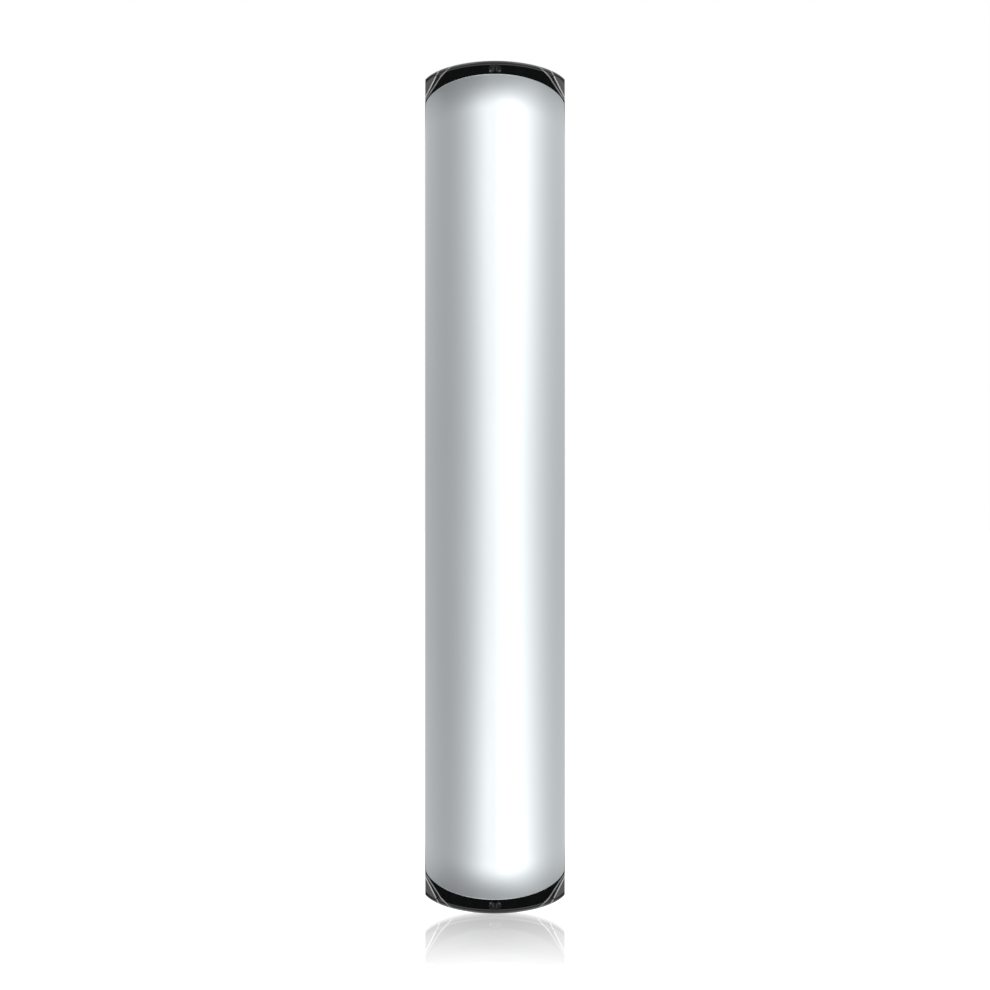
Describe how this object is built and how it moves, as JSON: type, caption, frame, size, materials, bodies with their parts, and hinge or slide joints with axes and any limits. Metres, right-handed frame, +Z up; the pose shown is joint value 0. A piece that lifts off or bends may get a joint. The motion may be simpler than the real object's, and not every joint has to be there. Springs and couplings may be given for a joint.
{
  "type": "mezuzah case",
  "caption": "Slim upright case with a deep convex satin cover that pulls off a black back plate with arc-shaped ends, holding a rolled parchment in a clear tube.",
  "frame": {"origin": "centre of the back plate's rear face, which lies flat on the door post", "axes": "+Z up along the case's length, +Y into the door post, so the cover faces -Y, +X to the right seen from the front"},
  "size_m": [0.02, 0.0145, 0.122],
  "materials": {
    "satin_silver": "bead-blasted and anodised, satin pearl silver",
    "gloss_black": "polished piano black",
    "black_moulding": "fine spark-eroded black moulding",
    "screw_steel": "bright zinc-plated steel",
    "nickel_plate": "nickel-plated magnet",
    "grey_felt": "pressed wool felt",
    "clear_plastic": "clear extruded tube",
    "white_moulding": "soft white moulding",
    "parchment": "scraped cream parchment, blank"
  },
  "bodies": {
    "base": {"back_plate": "gloss_black", "upper_cradle": "black_moulding", "lower_cradle": "black_moulding", "cradle_screws": "screw_steel", "upper_base_magnets": "nickel_plate", "lower_base_magnets": "nickel_plate"},
    "cover": {"front_cover": "satin_silver", "upper_cover_magnets": "nickel_plate", "lower_cover_magnets": "nickel_plate", "upper_felt_pad": "grey_felt", "lower_felt_pad": "grey_felt"},
    "tube": {"scroll_tube": "clear_plastic", "upper_tube_plug": "white_moulding", "lower_tube_plug": "white_moulding"},
    "scroll": {"parchment_scroll": "parchment"}
  },
  "joints": [
    {"name": "cover_pull", "type": "slide", "parent": "base", "child": "cover", "axis": [0, -1, 0], "range_m": [0, 0.06]},
    {"name": "tube_lift", "type": "slide", "parent": "base", "child": "tube", "axis": [0, -1, 0], "range_m": [0, 0.03]},
    {"name": "scroll_turn", "type": "hinge", "parent": "tube", "child": "scroll", "pos_m": [0, -0.0078, 0], "axis": [0, 0, 1], "continuous": true}
  ],
  "couplings": [
    {"joint": "tube_lift", "follows": "cover_pull", "ratio": 0.5}
  ]
}
